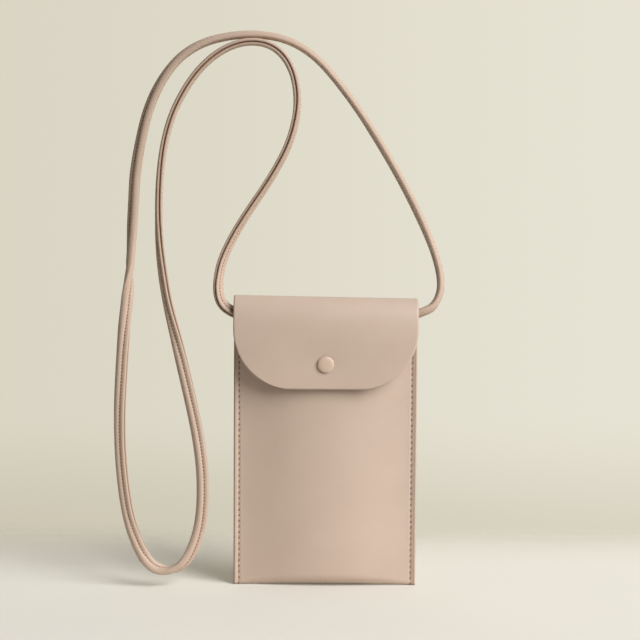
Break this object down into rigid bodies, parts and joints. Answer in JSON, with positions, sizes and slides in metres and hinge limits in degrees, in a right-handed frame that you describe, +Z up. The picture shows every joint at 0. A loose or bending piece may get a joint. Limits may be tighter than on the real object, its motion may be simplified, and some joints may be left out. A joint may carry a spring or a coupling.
{
  "type": "phone pouch",
  "caption": "Slim upright leather phone pouch with a fold-over flap, a press snap, stitched side seams and a long rolled neck strap that hangs in loops.",
  "frame": {"origin": "middle of the pouch's foot, under the centre of the pouch's own box, on the surface that it stands on", "axes": "+Z up, -Y out of the flap's face, +X to the right seen from the front"},
  "size_m": [0.2113, 0.0297, 0.3508],
  "materials": {
    "leather": "smooth matt vegetable-tanned leather, warm beige",
    "strap_leather": "smooth matt leather, rolled and sewn along one side",
    "cap_enamel": "satin enamel in the colour of the leather",
    "snap_metal": "brass with a soft nickel plating",
    "spring_steel": "bright spring wire",
    "thread": "waxed thread in the colour of the leather",
    "core_cotton": "twisted cotton filler"
  },
  "bodies": {
    "pouch": {"front_panel": "leather", "back_panel": "leather", "top_fold": "leather", "snap_stud": "snap_metal", "snap_post": "snap_metal", "left_seam_stitches": "thread", "right_seam_stitches": "thread", "strap_cover": "strap_leather", "strap_core": "core_cotton", "strap_tail_left": "strap_leather", "strap_tail_right": "strap_leather", "tail_stitches_left": "thread", "tail_stitches_right": "thread"},
    "flap": {"flap": "leather", "snap_cap": "cap_enamel", "snap_socket": "snap_metal", "snap_spring": "spring_steel"}
  },
  "joints": [
    {"name": "flap_fold", "type": "hinge", "parent": "pouch", "child": "flap", "pos_m": [0, -0.00202, 0.182], "axis": [-1, 0, 0], "range_deg": [0, 180], "deforming": ["top_fold", "snap_spring"]}
  ]
}
